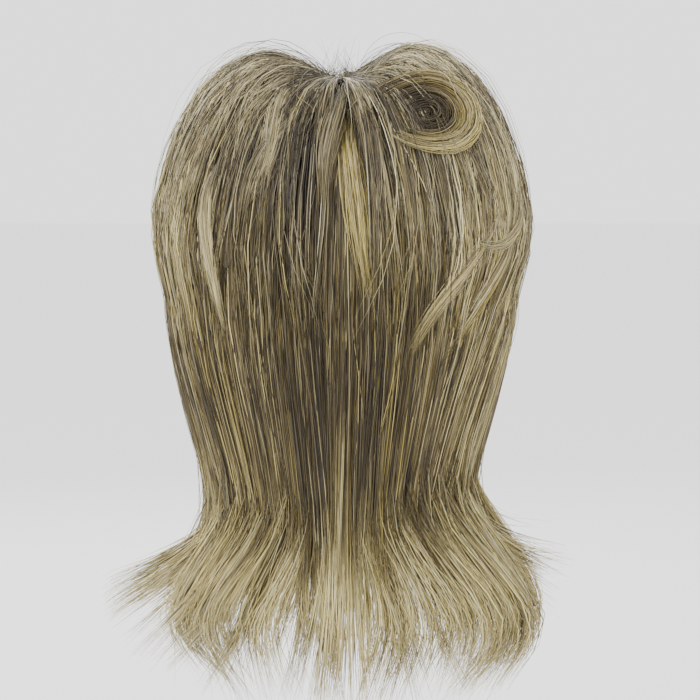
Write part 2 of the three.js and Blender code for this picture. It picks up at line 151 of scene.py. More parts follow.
def down(table, name, share):
    """A column at a share down a table: a Catmull-Rom curve through its rows, straight past the last."""
    values = table[name]
    last = len(values) - 1
    place = np.clip(share, 0, 1) * last
    i = np.minimum(place.astype(int), last - 1)
    t = place - i
    padded = np.concatenate([[2 * values[0] - values[1]], values, [2 * values[-1] - values[-2]]])
    before, here, there, after = (padded[i + k] for k in range(4))
    slope, next_slope = (there - before) / 2, (after - here) / 2
    curve = here * (1 + t * t * (2 * t - 3)) + slope * t * (1 - t) ** 2
    curve = curve + there * t * t * (3 - 2 * t) - next_slope * t * t * (1 - t)
    return curve + np.maximum(share - 1, 0) * last * (values[-1] - values[-2])


def quarters(angle):
    """Sine and cosine of an angle turned from the back to the left, and their squares for each side."""
    s, c = np.sin(np.radians(angle)), np.cos(np.radians(angle))
    return s, c, np.maximum(s, 0) ** 2, np.maximum(-s, 0) ** 2, np.maximum(c, 0) ** 2, np.maximum(-c, 0) ** 2


def long_hair(angle, share, opened=1.0):
    """The long hair's outside: an ellipse at each share, wider by the flick, that sinks by each side's drop.
    Where the flick is opened by less than 1, the sides hang lower, as far as the middle does."""
    angle, share = np.broadcast_arrays(angle, np.asarray(share, float))
    s, c, left, right, back, front = quarters(angle)
    flick = down(LONG, "flick", share) * opened
    half_width = SIDE_REACH * down(LONG, "side", share) + flick * np.where(s > 0, LEFT_FLICK, RIGHT_FLICK)
    to_back = BACK_REACH * down(LONG, "back", share) + flick * BACK_FLICK
    depth = np.where(c > 0, to_back, FRONT_REACH * down(LONG, "front", share))
    low = 1 - opened
    left_drop, right_drop = mix(LEFT_FLICK_DROP, TAIL_DROP, low), mix(RIGHT_FLICK_DROP, TAIL_DROP, low)
    sides = left * (left_drop + UNDER_TOP) + right * (right_drop + UNDER_TOP)
    drop = sides * down(LONG, "side_down", share)
    drop = drop + back * down(LONG, "back_down", share) * (TAIL_DROP + UNDER_TOP)
    drop = drop + front * down(LONG, "front_down", share) * (CHEEK_DROP + UNDER_TOP)
    return np.stack([half_width * s, depth * c, UNDER_TOP - drop], axis=-1)


def unit(vectors):
    """Vectors over their lengths."""
    return vectors / np.maximum(np.linalg.norm(vectors, axis=-1, keepdims=True), 1e-9)


def outward(surface, angle, share):
    """The surface's normal: the cross product of its changes across and along."""
    share = np.maximum(share, 0.01)
    along = surface(angle, share + 0.01) - surface(angle, share - 0.01)
    across = surface(angle + 1, share) - surface(angle - 1, share)
    return unit(np.cross(across, along))


def drawn(share):
    """What the long hair's angles are multiplied by, as its front edge draws back from the ear to the nape."""
    return mix(1, DRAWN_BACK, ease(0.35, 0.75, share))


# Where the hair, seen from behind, is lighter or darker than the ash brown of its middle: each patch's place
# and half sizes in mm, left of the parting and up, and by how much lighter it is there.
PATCHES = np.array(
    [
        (100, -65, 34, 80, 0.38),
        (60, 14, 38, 26, 0.44),
        (-104, -65, 32, 80, 0.29),
        (-54, 24, 36, 16, 0.60),
        (-70, -95, 26, 34, 0.16),
        (-42, -66, 22, 30, 0.16),
        (-10, -75, 13, 48, 0.14),
        (78, -40, 22, 34, -0.19),
        (20, -28, 17, 32, -0.34),
        (-4, 8, 12, 12, 0.12),
        (-42, -6, 18, 13, -0.44),
        (0, -170, 50, 55, -0.10),
        (96, -140, 18, 36, -0.12),
        (74, -220, 24, 36, 0.20),
        (-78, -204, 24, 50, 0.25),
        (92, -276, 32, 20, 0.26),
        (72, -314, 26, 15, -0.20),
        (-6, -264, 14, 32, 0.24),
        (4, -274, 55, 28, 0.25),
        (-74, -262, 20, 14, -0.14),
        (-72, -288, 26, 9, 0.12),
        (-112, -302, 18, 14, -0.16),
    ],
    dtype=[(name, float) for name in ("left", "up", "wide", "high", "lighter")],
)


BACK_TONE, FRONT_TONE, ENDS_LIGHTER = 0.28, 0.55, 0.52


def tone_at(points):
    """How light the fibre is by place, 0 to 1. Behind: a base and the sum of the patches, each a bell of the
    distance from its middle. In front: one light tone. The ends of the long hair are blonde all round, from
    higher up at the sides than in the middle."""
    x, y, z = (points[..., k] / MM for k in range(3))
    behind = BACK_TONE + sum(
        patch["lighter"] * np.exp(-(((x - patch["left"]) / patch["wide"]) ** 2)
                                  - ((z - patch["up"]) / patch["high"]) ** 2)
        for patch in PATCHES
    )
    tone = mix(FRONT_TONE, behind, ease(-45, 25, y))
    higher = 26 * np.clip(np.abs(x) / 85, 0, 1) ** 2
    return tone + ENDS_LIGHTER * ease(-226, -316, z - higher)


def quad_strip(grid):
    """The four corners of each cell of a grid of vertex numbers, outwards for columns that turn to the left."""
    return np.stack([grid[:-1, :-1], grid[1:, :-1], grid[1:, 1:], grid[:-1, 1:]], axis=-1).reshape(-1, 4)


def bed(surface, sides, first, last, columns, rows, thick, seed, draw=None, sunk=1.2 * MM, meets=0.0):
    """A sheet of dense fibre: a grid over the surface, sunk under it and furrowed along its hairs by a sum
    of sines of the column, closed by a second grid under it and by its edges. Its end is ragged. Its first
    rows are drawn to the middle by what it needs to meet the sheet of the other side."""
    rng = np.random.default_rng(seed)
    across, along = np.linspace(0, 1, columns)[:, None], np.linspace(0, 1, rows)[None, :]
    lock, strand = (
        np.interp(across, np.linspace(0, 1, number), rng.uniform(0, 1, number))
        for number in (columns // 6, columns)
    )
    end = (last(mix(*sides, across)) if callable(last) else last) - 0.05 * lock - 0.04 * strand
    share = mix(first, end, along)
    angle = mix(*sides, across) * (draw(share) if draw else 1)
    angle, share = np.broadcast_arrays(angle, share)
    normal = outward(surface, angle, share)
    furrow = sum(
        size * np.sin(across * columns / width + phase + bend * along)
        for size, width, phase, bend in zip(
            (0.4, 0.35, 0.25), (1.1, 2.3, 5.1), rng.uniform(0, 6, 3), rng.uniform(-3, 3, 3)
        )
    )
    top = surface(angle, share) - normal * (sunk + (furrow[..., None] + 1) * 0.5 * MM)
    wall = mix(thick, 0.6 * MM, np.broadcast_to(along, share.shape))[..., None]
    under = surface(angle, share) - normal * (sunk + 1.1 * MM + wall + 0.6 * MM * furrow[..., None])
    inward = np.sign(top[..., 0]) * meets * (1 - ease(0, 0.06, share))
    top[..., 0] -= inward
    under[..., 0] -= inward
    grid = np.arange(columns * rows).reshape(columns, rows)
    below = grid + grid.size
    rim = np.concatenate([grid[0, :], grid[1:, -1], grid[-1, -2::-1], grid[-2:0:-1, 0]])
    edge = np.stack([rim, np.roll(rim, -1), np.roll(rim, -1) + grid.size, rim + grid.size], axis=1)
    quads = np.concatenate([quad_strip(grid), quad_strip(below[::-1]), edge])
    # The bed's tone is a quarter darker than the tone of its place: painted shade in the gaps under the loose
    # hairs.
    tone = tone_at(top) - 0.25 + 0.1 * furrow
    strand = 0.5 * MM
    width = abs(sides[1] - sides[0]) * np.radians(1) * BACK_REACH
    grain = np.broadcast_to(across * width / strand, share.shape)
    twice = [np.tile(values.ravel(), 2) for values in (tone, share, grain)]
    # The second grid, under the bed and inside the wig, is darker still: painted shade.
    twice[0][grid.size:] -= 0.18
    return (np.concatenate([top.reshape(-1, 3), under.reshape(-1, 3)]), quads, np.zeros((0, 3), int), *twice)


def tubes(path, normal, radius, tone, run, seed):
    """Hairs as closed three-sided tubes: at each point of a path, three corners of a circle square to the
    path, the first outwards, with a triangle on each end. One side of each is a little lighter."""
    rng = np.random.default_rng(seed)
    count, steps, _ = path.shape
    along = unit(np.gradient(path, axis=1))
    side = unit(np.cross(normal, along))
    up = np.cross(along, side)
    turns = np.radians([90, 210, 330]) + rng.uniform(-0.5, 0.5, (count, 1, 1))
    ring = np.cos(turns)[..., None] * side[:, :, None] + np.sin(turns)[..., None] * up[:, :, None]
    points = (path[:, :, None] + ring * radius[:, :, None, None]).reshape(-1, 3)
    index = np.arange(count * steps * 3).reshape(count, steps, 3)
    turned = np.roll(index, -1, axis=2)
    quads = np.stack([index[:, :-1], turned[:, :-1], turned[:, 1:], index[:, 1:]], axis=-1).reshape(-1, 4)
    ends = np.concatenate([index[:, 0, ::-1], index[:, -1]])
    tone = (np.broadcast_to(tone, (count, steps))[..., None] + np.array([0.0, 0.06, -0.07])).ravel()
    run = np.repeat(np.broadcast_to(run, (count, steps)).ravel(), 3)
    grain = np.repeat(rng.uniform(0, 900, count), steps * 3)
    return points, quads, ends, tone, run, grain


def combed(
    surface, count, sides, starts, ends, locks, seed, steps=8, depth=2.2, stray=0.7, gather=0.65, swing=1.5,
    sway=0.8, lights=0.2, radius=0.34, draw=None, lift=0.3, tone=0.0, cut=None, bend=None, lean=None, tip=0.6,
):
    """Hairs that lie in locks on a surface. A lock's middle turns by its own swing as the power 1.6 of the
    way along it and by a slow sine. Each hair's distance from it closes towards the lock's tip. Lengths,
    depths and tones vary by lock and by hair, and the tone is that of a place a little higher or lower.
    Loose hairs arch off the surface by half a sine."""
    rng = np.random.default_rng(seed)
    t = np.linspace(0, 1, steps)[None, :]
    middle = (np.arange(locks) + 0.5 + rng.uniform(-0.45, 0.45, locks)) / locks
    lock_start, lock_end = rng.uniform(*starts, locks), rng.uniform(*ends, locks)
    lock_swing, lock_tone = rng.normal(0, swing, locks), rng.normal(0, 0.08, locks)
    phase, pitch, size = rng.uniform(0, 6.3, locks), rng.uniform(2, 5.5, locks), rng.uniform(0.3, 1, locks)
    lock = rng.integers(0, locks, count)
    offset = rng.normal(0, 0.6, count) / locks
    place = np.clip(middle[lock] + offset, 0.003, 0.997)
    across = middle[lock][:, None] + (place - middle[lock])[:, None] * (1 - gather * t**2)
    first = lock_start[lock] + rng.uniform(-0.02, 0.03, count)
    last = lock_end[lock] - np.abs(rng.normal(0, 0.05, count)) * (0.5 + np.abs(offset) * locks)
    last = last - (cut(mix(*sides, place)) if cut else 0)
    share = mix(np.maximum(first, 0)[:, None], np.maximum(last, first + 0.1)[:, None], t)
    slow = np.sin(t * pitch[lock][:, None] + phase[lock][:, None]) * size[lock][:, None]
    own = np.sin(t * rng.uniform(2, 6, (count, 1)) + rng.uniform(0, 6.3, (count, 1))) * 0.45
    angle = mix(*sides, across) + sway * (slow + own) * (0.3 + t)
    angle = angle + (lock_swing[lock] + rng.normal(0, swing * 0.4, count))[:, None] * t**1.6
    if lean:
        angle = lean(angle, share)
    angle = angle * (draw(share) if draw else 1)
    normal = outward(surface, angle, share)
    sunk = rng.uniform(0, 1, (count, 1)) ** 1.2 * depth * (1 - 0.7 * t**1.5)
    loose = np.abs(rng.normal(0, stray, (count, 1))) * np.sin(np.pi * np.clip(t * 1.1, 0, 1)) ** 0.8
    path = surface(angle, share) + normal * ((lift + loose - sunk) * MM)[..., None]
    if bend:
        path = bend(path, angle, share, lock, rng)
    hair_tone = lock_tone[lock] + rng.normal(0.02, 0.11, count) + tone
    hair_tone = hair_tone + np.where(rng.random(count) < lights, rng.uniform(0.15, 0.5, count), 0)
    hair_tone = hair_tone - np.where(rng.random(count) < 0.4, rng.uniform(0.12, 0.4, count), 0)
    higher = (rng.normal(0, 13, locks)[lock] + rng.normal(0, 7, count))[:, None] * MM
    tones = tone_at(path + np.stack([0 * higher, 0 * higher, higher], axis=-1))
    # Hairs sunk deeper among the others are darker: painted shade. The roots by the parting are darker too.
    tones = tones + hair_tone[:, None] - 0.05 * sunk - 0.12 * (1 - ease(0, 0.12, share))
    round_size = rng.uniform(0.6, 1.2, (count, 1)) * radius * MM * (1 - 0.85 * ease(tip, 1.0, t))
    return tubes(path, normal, round_size, tones, share, seed)


def hair_piece(name, node, material, parts):
    """One mesh of all the parts. Each vertex has its tone, its way along the hair and its strand as
    attributes. The map that the finish is baked through holds the tone and the way along."""
    shift, columns, loops, sizes = 0, [], [], []
    for points, quads, triangles, *values in parts:
        columns.append(np.column_stack([points, *values]))
        for faces in (quads, triangles):
            loops.append((faces + shift).ravel())
            sizes.append(np.full(len(faces), faces.shape[1]))
        shift += len(points)
    table, loops, sizes = np.concatenate(columns), np.concatenate(loops), np.concatenate(sizes)
    tone, run = np.clip(table[:, 3], 0.01, 0.99), table[:, 4]
    mesh = bpy.data.meshes.new(name)
    mesh.vertices.add(len(table))
    mesh.vertices.foreach_set("co", table[:, :3].astype(np.float32).ravel())
    mesh.loops.add(len(loops))
    mesh.loops.foreach_set("vertex_index", loops.astype(np.int32))
    mesh.polygons.add(len(sizes))
    mesh.polygons.foreach_set("loop_start", np.concatenate([[0], np.cumsum(sizes)[:-1]]).astype(np.int32))
    for title, values in (("tone", tone), ("run", run), ("grain", table[:, 5])):
        mesh.attributes.new(title, "FLOAT", "POINT").data.foreach_set("value", values.astype(np.float32))
    corner = np.arange(len(loops)) % 3
    places = np.stack([spread(tone)[loops] + 0.003 * (corner == 1), spread(run)[loops] + 0.003 * (corner == 2)])
    mesh.uv_layers.new(name="OFBake").data.foreach_set("uv", places.T.astype(np.float32).ravel())
    mesh.update(calc_edges=True)
    mesh.shade_smooth()
    mesh.materials.append(material)
    piece = bpy.data.objects.new(name, mesh)
    bpy.context.scene.collection.objects.link(piece)
    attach(piece, "root")
    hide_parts(node)
    return piece


def spread(values):
    """Values stretched to run from 0.01 to 0.98."""
    return 0.01 + 0.97 * (values - values.min()) / (values.max() - values.min())


def hair_fibre(nodes, links, shader, ashen=0.8):
    """Fibre whose colour follows its tone, with fine streaks along it that shift the tone. It is ashen to a
    degree near the crown, its full colour further down, and a little more or less of it by hair."""
    read = {}
    for name in ("tone", "run", "grain"):
        read[name] = nodes.new("ShaderNodeAttribute")
        read[name].attribute_name = name
    stretched, lie = nodes.new("ShaderNodeMath"), nodes.new("ShaderNodeCombineXYZ")
    stretched.operation = "MULTIPLY"
    stretched.inputs[1].default_value = 7
    links.new(read["run"].outputs["Fac"], stretched.inputs[0])
    links.new(read["grain"].outputs["Fac"], lie.inputs["X"])
    links.new(stretched.outputs["Value"], lie.inputs["Y"])
    streaks = nodes.new("ShaderNodeTexNoise")
    streaks.inputs["Scale"].default_value, streaks.inputs["Detail"].default_value = 1, 2
    links.new(lie.outputs["Vector"], streaks.inputs["Vector"])
    shift, total = nodes.new("ShaderNodeMapRange"), nodes.new("ShaderNodeMath")
    shift.inputs["From Min"].default_value, shift.inputs["From Max"].default_value = 0.25, 0.75
    shift.inputs["To Min"].default_value, shift.inputs["To Max"].default_value = -0.16, 0.16
    total.operation = "ADD"
    links.new(streaks.outputs["Fac"], shift.inputs["Value"])
    links.new(shift.outputs["Result"], total.inputs[0])
    links.new(read["tone"].outputs["Fac"], total.inputs[1])
    ramp = nodes.new("ShaderNodeValToRGB")
    stops = (
        (0.0, (0.020, 0.013, 0.0045)),
        (0.25, (0.069, 0.049, 0.018)),
        (0.5, (0.186, 0.146, 0.059)),
        (0.75, (0.370, 0.303, 0.122)),
        (1.0, (0.640, 0.550, 0.262)),
    )
    for place, colour in stops[1:-1]:
        ramp.color_ramp.elements.new(place)
    for element, (place, colour) in zip(ramp.color_ramp.elements, stops):
        element.position, element.color = place, (*colour, 1)
    links.new(total.outputs["Value"], ramp.inputs["Fac"])
    place, height, ash = (nodes.new(f"ShaderNode{kind}") for kind in ("TexCoord", "SeparateXYZ", "MapRange"))
    ash.inputs["From Min"].default_value, ash.inputs["From Max"].default_value = -130 * MM, 20 * MM
    ash.inputs["To Min"].default_value, ash.inputs["To Max"].default_value = max(1.0, ashen), ashen
    links.new(place.outputs["Object"], height.inputs["Vector"])
    links.new(height.outputs["Z"], ash.inputs["Value"])
    by_hair, vary, colour_shift = (
        nodes.new(f"ShaderNode{kind}") for kind in ("TexNoise", "MapRange", "HueSaturation")
    )
    by_hair.noise_dimensions = "1D"
    by_hair.inputs["Scale"].default_value = 0.6
    vary.inputs["From Min"].default_value, vary.inputs["From Max"].default_value = 0.25, 0.75
    vary.inputs["To Min"].default_value, vary.inputs["To Max"].default_value = 0.65, 1.3
    links.new(read["grain"].outputs["Fac"], by_hair.inputs["W"])
    links.new(by_hair.outputs["Fac"], vary.inputs["Value"])
    fade = nodes.new("ShaderNodeMath")
    fade.operation = "MULTIPLY"
    links.new(ash.outputs["Result"], fade.inputs[0])
    links.new(vary.outputs["Result"], fade.inputs[1])
    links.new(fade.outputs["Value"], colour_shift.inputs["Saturation"])
    links.new(ramp.outputs["Color"], colour_shift.inputs["Color"])
    links.new(colour_shift.outputs["Color"], shader.inputs["Base Color"])
    bump = nodes.new("ShaderNodeBump")
    bump.inputs["Strength"].default_value, bump.inputs["Distance"].default_value = 0.6, 0.3 * MM
    links.new(streaks.outputs["Fac"], bump.inputs["Height"])
    links.new(bump.outputs["Normal"], shader.inputs["Normal"])
    shader.inputs["Roughness"].default_value = 0.42
    shader.inputs["Specular IOR Level"].default_value = 0.4


# A place on the back is given as the photographer saw it: in mm left of the parting and up, in the plane
# across the head through the parting, from an eye behind the head.
AIM = np.array([-5.0, 0, -148]) * MM
DISTANCE, RAISED = 1.6, np.radians(4)
EYE = AIM + DISTANCE * np.array([0, np.cos(RAISED), np.sin(RAISED)])


def behind_places(surface, places):
    """The angles and shares of a surface's points that the eye sees at these places: for each, the nearest
    of a fine grid of the surface's points that face the eye, cast onto the plane from the eye."""
    angle, share = np.meshgrid(np.linspace(-125, 125, 401), np.linspace(0, 1.12, 281), indexing="ij")
    point = surface(angle, share)
    cast = EYE + (point - EYE) * (EYE[1] / (EYE[1] - point[..., 1:2]))
    away = (outward(surface, angle, share) * (EYE - point)).sum(axis=-1) < -0.05
    found = [
        np.argmin((cast[..., 0] - x * MM) ** 2 + (cast[..., 2] - z * MM) ** 2 + away * 1.0) for x, z in places
    ]
    return angle.ravel()[found], share.ravel()[found]


def softened(points, times=3):
    """Points averaged with their neighbours, with the ends kept."""
    for _ in range(times):
        points = np.concatenate([points[:1], (points[:-2] + 2 * points[1:-1] + points[2:]) / 4, points[-1:]])
    return points


def laid_lock(
    surface, places, width, height, count, tones, seed, steps=10, proud=1.0, radius=0.34, bury=5.0, thin=0.45,
    ragged=0.75, arch=0.0,
):
    """A lock laid along places on the back: a path smoothed through the surface's points there, with hairs
    side by side across it. They are closest at its root, heaped in its middle, and thinned by a share at its
    tip. The root is buried. The tone goes from the root's to the tip's by a smooth step."""
    rng = np.random.default_rng(seed)
    angle, share = behind_places(surface, places)
    t = np.linspace(0, 1, steps)
    knots = np.linspace(0, 1, len(places))
    points, outs = surface(angle, share), outward(surface, angle, share)
    centre = softened(np.stack([np.interp(t, knots, points[:, k]) for k in range(3)], axis=1))
    normal = unit(softened(np.stack([np.interp(t, knots, outs[:, k]) for k in range(3)], axis=1)))
    side = unit(np.cross(normal, unit(np.gradient(centre, axis=0))))
    full = 0.3 + 0.7 * ease(0, 0.5, t) - thin * ease(0.55, 1, t)
    start, stop = rng.uniform(0, 0.3, (count, 1)), 1 - ragged * rng.uniform(0, 1, (count, 1)) ** 1.6
    own = start + (stop - start) * t
    across = rng.normal(0, 0.3, (count, 1))
    sway = 0.16 * np.sin(own * rng.uniform(2, 6, (count, 1)) + rng.uniform(0, 6.3, (count, 1)))
    heap = rng.uniform(0, 1, (count, 1)) ** 1.3 * np.exp(-((2.2 * across) ** 2))

    def along_lock(values):
        return np.stack([np.interp(own, t, values[..., k]) for k in range(values.shape[-1])], axis=-1)

    wide = np.interp(own, t, full)
    stands = arch * MM * np.sin(np.pi * own) * rng.uniform(0.4, 1.1, (count, 1))
    rise = proud * MM + heap * wide * height + stands - bury * MM * (1 - ease(0, 0.3, own))
    path = along_lock(centre) + along_lock(side) * ((across * wide + sway) * width)[..., None]
    path = path + along_lock(normal) * rise[..., None]
    tone = mix(*tones, ease(0.1, 0.6, own))
    # Hairs that lie lower in the lock, away from its heaped middle, are darker: painted shade.
    tone = mix(tone_at(path), tone, 0.75) + rng.normal(0.02, 0.12, (count, 1)) - 0.08 * (1 - heap)
    tone = tone - np.where(rng.random((count, 1)) < 0.3, rng.uniform(0.1, 0.4, (count, 1)), 0)
    thickness = rng.uniform(0.6, 1.15, (count, 1)) * radius * MM * (1 - 0.85 * ease(0.65, 1, t))
    thickness = thickness * (0.3 + 0.7 * ease(0, 0.2, t))
    return tubes(path, along_lock(normal), thickness, tone, np.interp(own, [0, 1], [share[0], share[-1]]), seed)


fibre = node_material("hair_fibre", hair_fibre)
BACK_END, SWEPT = 0.8, 18
back_sides = (-BACK_HALF_ANGLE, BACK_HALF_ANGLE)
swept_sides = (-BACK_HALF_ANGLE - SWEPT, BACK_HALF_ANGLE)


def sweep(angle, share):
    """The right side's hair leans in towards the middle of the back as it falls."""
    return angle + SWEPT * ease(-28, -70, angle) * ease(0.3, 0.62, share)


def flare(path, angle, share, lock, rng):
    """Turns each lock's ends out or under. A flipped lock opens by the flick, and its tip turns up by the
    square of the way along. A hooked one hangs lower. By a smooth step it goes out to its widest, which is
    in proportion to its side but no more than the flare's, and by a later step it comes in again. Far out
    the flare closes to its limit by a hyperbolic tangent."""

    def drawn_by_lock(low, high, spread_in_lock):
        """A number for each hair: its lock's, and a normal one of its own."""
        by_lock = rng.uniform(low, high, lock.max() + 1)[lock]
        return (by_lock + rng.normal(0, spread_in_lock, len(lock)))[:, None]

    way = np.clip((share - 0.67) / 0.33, 0, 1.2)
    s, c, *_ = quarters(angle)
    side = s.mean(axis=1, keepdims=True)
    hooks = np.where(side > 0, 0.5, 0.72) * (1 - 0.75 * ease(0.82, 0.96, np.abs(side)))
    hooked = drawn_by_lock(0, 1, 0.12) < hooks
    opened = drawn_by_lock(0.88, 1.1, 0.06)
    upturn = drawn_by_lock(-4, 14, 4) * MM * way**2 * np.where(s > 0, 1.0, 1.5) * s**2
    turned_up = long_hair(angle, share, 1 + (opened - 1) * ease(0, 0.5, way))
    turned_up = turned_up + np.stack([0 * way, 0 * way, upturn], axis=-1)
    flicked, hangs = long_hair(angle, share), long_hair(angle, share, 1 - ease(0.1, 0.8, way))
    waist = long_hair(angle, 0.7)[..., 0]
    widest = np.where(s > 0, 175, 185) * drawn_by_lock(0.8, 1.05, 0.08) * np.abs(s)
    limit = drawn_by_lock(0, 1, 0.1)
    limit = np.where(s > 0, mix(88, 118, limit), mix(104, 132, limit))
    widest = (np.maximum(widest, 1.0) ** -4 + limit**-4) ** -0.25 * MM
    out = np.maximum(widest - waist * np.sign(s), 0) * ease(0.0, 0.68, way)
    under = drawn_by_lock(20, 48, 6) * MM * ease(0.5, 1.15, way) * np.sqrt(np.abs(s))
    x = mix(hangs[..., 0], waist, ease(0, 0.3, way)) + np.sign(s) * (out - under)
    y = mix(flicked[..., 1], hangs[..., 1], 0.5 * ease(0.5, 1.1, way))
    lift = drawn_by_lock(0, 26, 4) * MM * way**2 * s**2
    turned_under = np.stack([x, y, hangs[..., 2] + lift], axis=-1)
    bent = path - flicked + np.where(hooked[..., None], turned_under, turned_up)
    far = np.abs(bent[..., 0]) / MM
    kept = np.where(far > 124, 124 + 22 * np.tanh((far - 124) / 22), far) * MM
    return np.concatenate([(np.sign(bent[..., 0]) * kept)[..., None], bent[..., 1:]], axis=-1)


hair_piece(
    "back_layer_bed", "back_layer", fibre,
    [bed(long_hair, back_sides, 0.02, BACK_END, 200, 34, 5 * MM, 11, drawn)],
)
hair_piece(
    "back_layer_hair", "back_layer", fibre,
    [
        combed(long_hair, 2740, swept_sides, (0.02, 0.25), (0.64, 0.9), 86, 12, draw=drawn, lean=sweep,
               sway=1.2, radius=0.28, steps=7),
        combed(long_hair, 660, swept_sides, (0.05, 0.4), (0.85, 1.03), 64, 16, draw=drawn, lean=sweep,
               sway=1.2, radius=0.28, bend=flare, gather=0.2, steps=11, tone=-0.05),
        combed(long_hair, 380, back_sides, (0.1, 0.5), (0.45, 0.9), 90, 13, draw=drawn, stray=1.6, swing=5,
               sway=2.0, gather=0.2, radius=0.22, lights=0.5, lean=sweep),
        combed(long_hair, 200, (-60, 60), (0.0, 0.04), (0.15, 0.38), 40, 15, stray=1.5, swing=11, sway=6,
               gather=0.0, radius=0.22, lights=0.35, lift=1.8),
        laid_lock(long_hair, [(-5, 11), (-3, -1), (2, -16), (8, -34), (11, -52), (8, -73)], 7 * MM, 3 * MM,
                  80, (0.5, 0.72), 14),
    ],
)


# The tail
# The longest hair, sewn to the nape of the cap under the back layer in three parts. Its ends are blonde,
# thinned to wisps, and flick out at the sides.
tail_parts = {
    "tail_left": (TAIL_MIDDLE, BACK_HALF_ANGLE),
    "tail_middle": (-TAIL_MIDDLE, TAIL_MIDDLE),
    "tail_right": (-BACK_HALF_ANGLE, -TAIL_MIDDLE),
}


def tail_surface(angle, share):
    """The long hair's outside, drawn inwards above the back layer's hem by what the layer takes."""
    under = 4 * MM * (1 - ease(0.60, 0.88, share))[..., None]
    return long_hair(angle, share) - outward(long_hair, angle, share) * under


def tail_bed_end(angle):
    """The share at which the dense part of the tail ends: sooner in the middle, where it is thinned."""
    return mix(0.84, 0.88, ease(10, 60, np.abs(angle)))


for seed, (node, sides) in enumerate(tail_parts.items(), 21):
    hair_piece(
        f"{node}_bed", node, fibre,
        [bed(tail_surface, sides, 0.48, tail_bed_end, 64, 26, 3 * MM, seed, drawn, 2.6 * MM)],
    )
    hair_piece(
        f"{node}_hair", node, fibre,
        [
            combed(tail_surface, 1400, sides, (0.50, 0.66), (0.90, 1.03), 40, seed + 10, steps=11, draw=drawn,
                   gather=0.15, lights=0.25, bend=flare, swing=3.0, depth=5, tip=0.7, radius=0.33, sway=1.6),
            combed(tail_surface, 180, sides, (0.5, 0.75), (0.86, 1.04), 30, seed + 20, steps=11, draw=drawn,
                   stray=2.0, sway=3.0, gather=0.0, radius=0.2, lights=0.5, bend=flare, swing=6),
        ],
    )


# The hair over the ears
# A shorter layer at each side, from under the lobe down over the ear, longest behind it.
def face_cut(angle):
    """How much sooner the layer ends towards the face, as a share."""
    return 0.1 * ease(BACK_HALF_ANGLE, SIDE_FRONT, np.abs(angle))


def side_bed_end(angle):
    """The share at which the layer's dense part ends: sooner towards the face, and at its edge behind."""
    behind = ease(BACK_HALF_ANGLE + 14, BACK_HALF_ANGLE, np.abs(angle))
    return 0.65 - 0.06 * behind - face_cut(angle)


for seed, (node, side) in enumerate({"side_layer_left": 1, "side_layer_right": -1}.items(), 41):
    sides = sorted((side * BACK_HALF_ANGLE, side * SIDE_FRONT))
    hairs_over = sorted((side * (BACK_HALF_ANGLE - 4), side * SIDE_FRONT))
    hair_piece(
        f"{node}_bed", node, fibre,
        [bed(long_hair, sides, 0.16, side_bed_end, 56, 22, 5 * MM, seed)],
    )
    hair_piece(
        f"{node}_hair", node, fibre,
        [
            combed(long_hair, 800, hairs_over, (0.17, 0.3), (0.62, 0.77), 34, seed + 10, cut=face_cut,
                   swing=2.5, gather=0.3, steps=7),
            combed(long_hair, 90, sides, (0.2, 0.4), (0.5, 0.75), 20, seed + 20, stray=2.0, sway=3, swing=5,
                   gather=0.1, radius=0.2, lights=0.5, cut=face_cut),
        ],
    )


# The lobes of the crown
# Two teased lobes of short hair that stand up either side of the parting and fall out over the rest.
PARTING_VOLUME, LEFT_RISE, RIGHT_RISE, PARTING_HALF_WIDTH = 11 * MM, 14 * MM, 18 * MM, 1.5 * MM
LOBE_TOP = CAP_WALL + PARTING_VOLUME
LOBE_DROP, LOBE_BACK_DROP, FRINGE_DROP = 122 * MM, 130 * MM, 88 * MM
LOBE_BACK, LOBE_FULL, LOBE_FRONT = 22, 70, 146
SHORT = np.array(
    [
        (0.000, 0.000, 0.390, 0.000, 0.500, 0.000, 0.0),
        (0.225, 0.004, 0.530, 0.010, 0.620, 0.026, 0.7),
        (0.470, 0.006, 0.700, 0.050, 0.770, 0.077, 1.0),
        (0.720, 0.083, 0.845, 0.180, 0.885, 0.171, 0.6),
        (0.900, 0.301, 0.955, 0.405, 0.968, 0.333, 0.2),
        (1.000, 0.577, 1.025, 0.650, 1.000, 0.563, 0.0),
        (0.990, 0.792, 1.040, 0.832, 0.977, 0.802, 0.0),
        (0.930, 1.000, 1.030, 1.000, 0.918, 1.000, 0.0),
    ],
    dtype=[(name, float) for name in ("side", "side_down", "back", "back_down", "front", "front_down", "rise")],
)


def short_hair(angle, share):
    """The short hair's outside: like the long hair's, with the lobes' rise added away from the parting."""
    angle, share = np.broadcast_arrays(angle, np.asarray(share, float))
    s, c, left, right, back, front = quarters(angle)
    half_width = SIDE_REACH * down(SHORT, "side", share) + PARTING_HALF_WIDTH * np.maximum(1 - share, 0)
    reach = np.where(c > 0, BACK_REACH * down(SHORT, "back", share), FRONT_REACH * down(SHORT, "front", share))
    drop = (left + right) * down(SHORT, "side_down", share) * (LOBE_DROP + LOBE_TOP)
    drop = drop + back * down(SHORT, "back_down", share) * (LOBE_BACK_DROP + LOBE_TOP)
    drop = drop + front * down(SHORT, "front_down", share) * (FRINGE_DROP + LOBE_TOP)
    turned = np.abs((angle + 180) % 360 - 180)
    teased = ease(LOBE_BACK, LOBE_FULL, turned) * (1 - 0.3 * front)
    rise = down(SHORT, "rise", share) * np.where(s > 0, LEFT_RISE, RIGHT_RISE) * teased
    return np.stack([half_width * s, reach * c, LOBE_TOP + rise - drop], axis=-1)


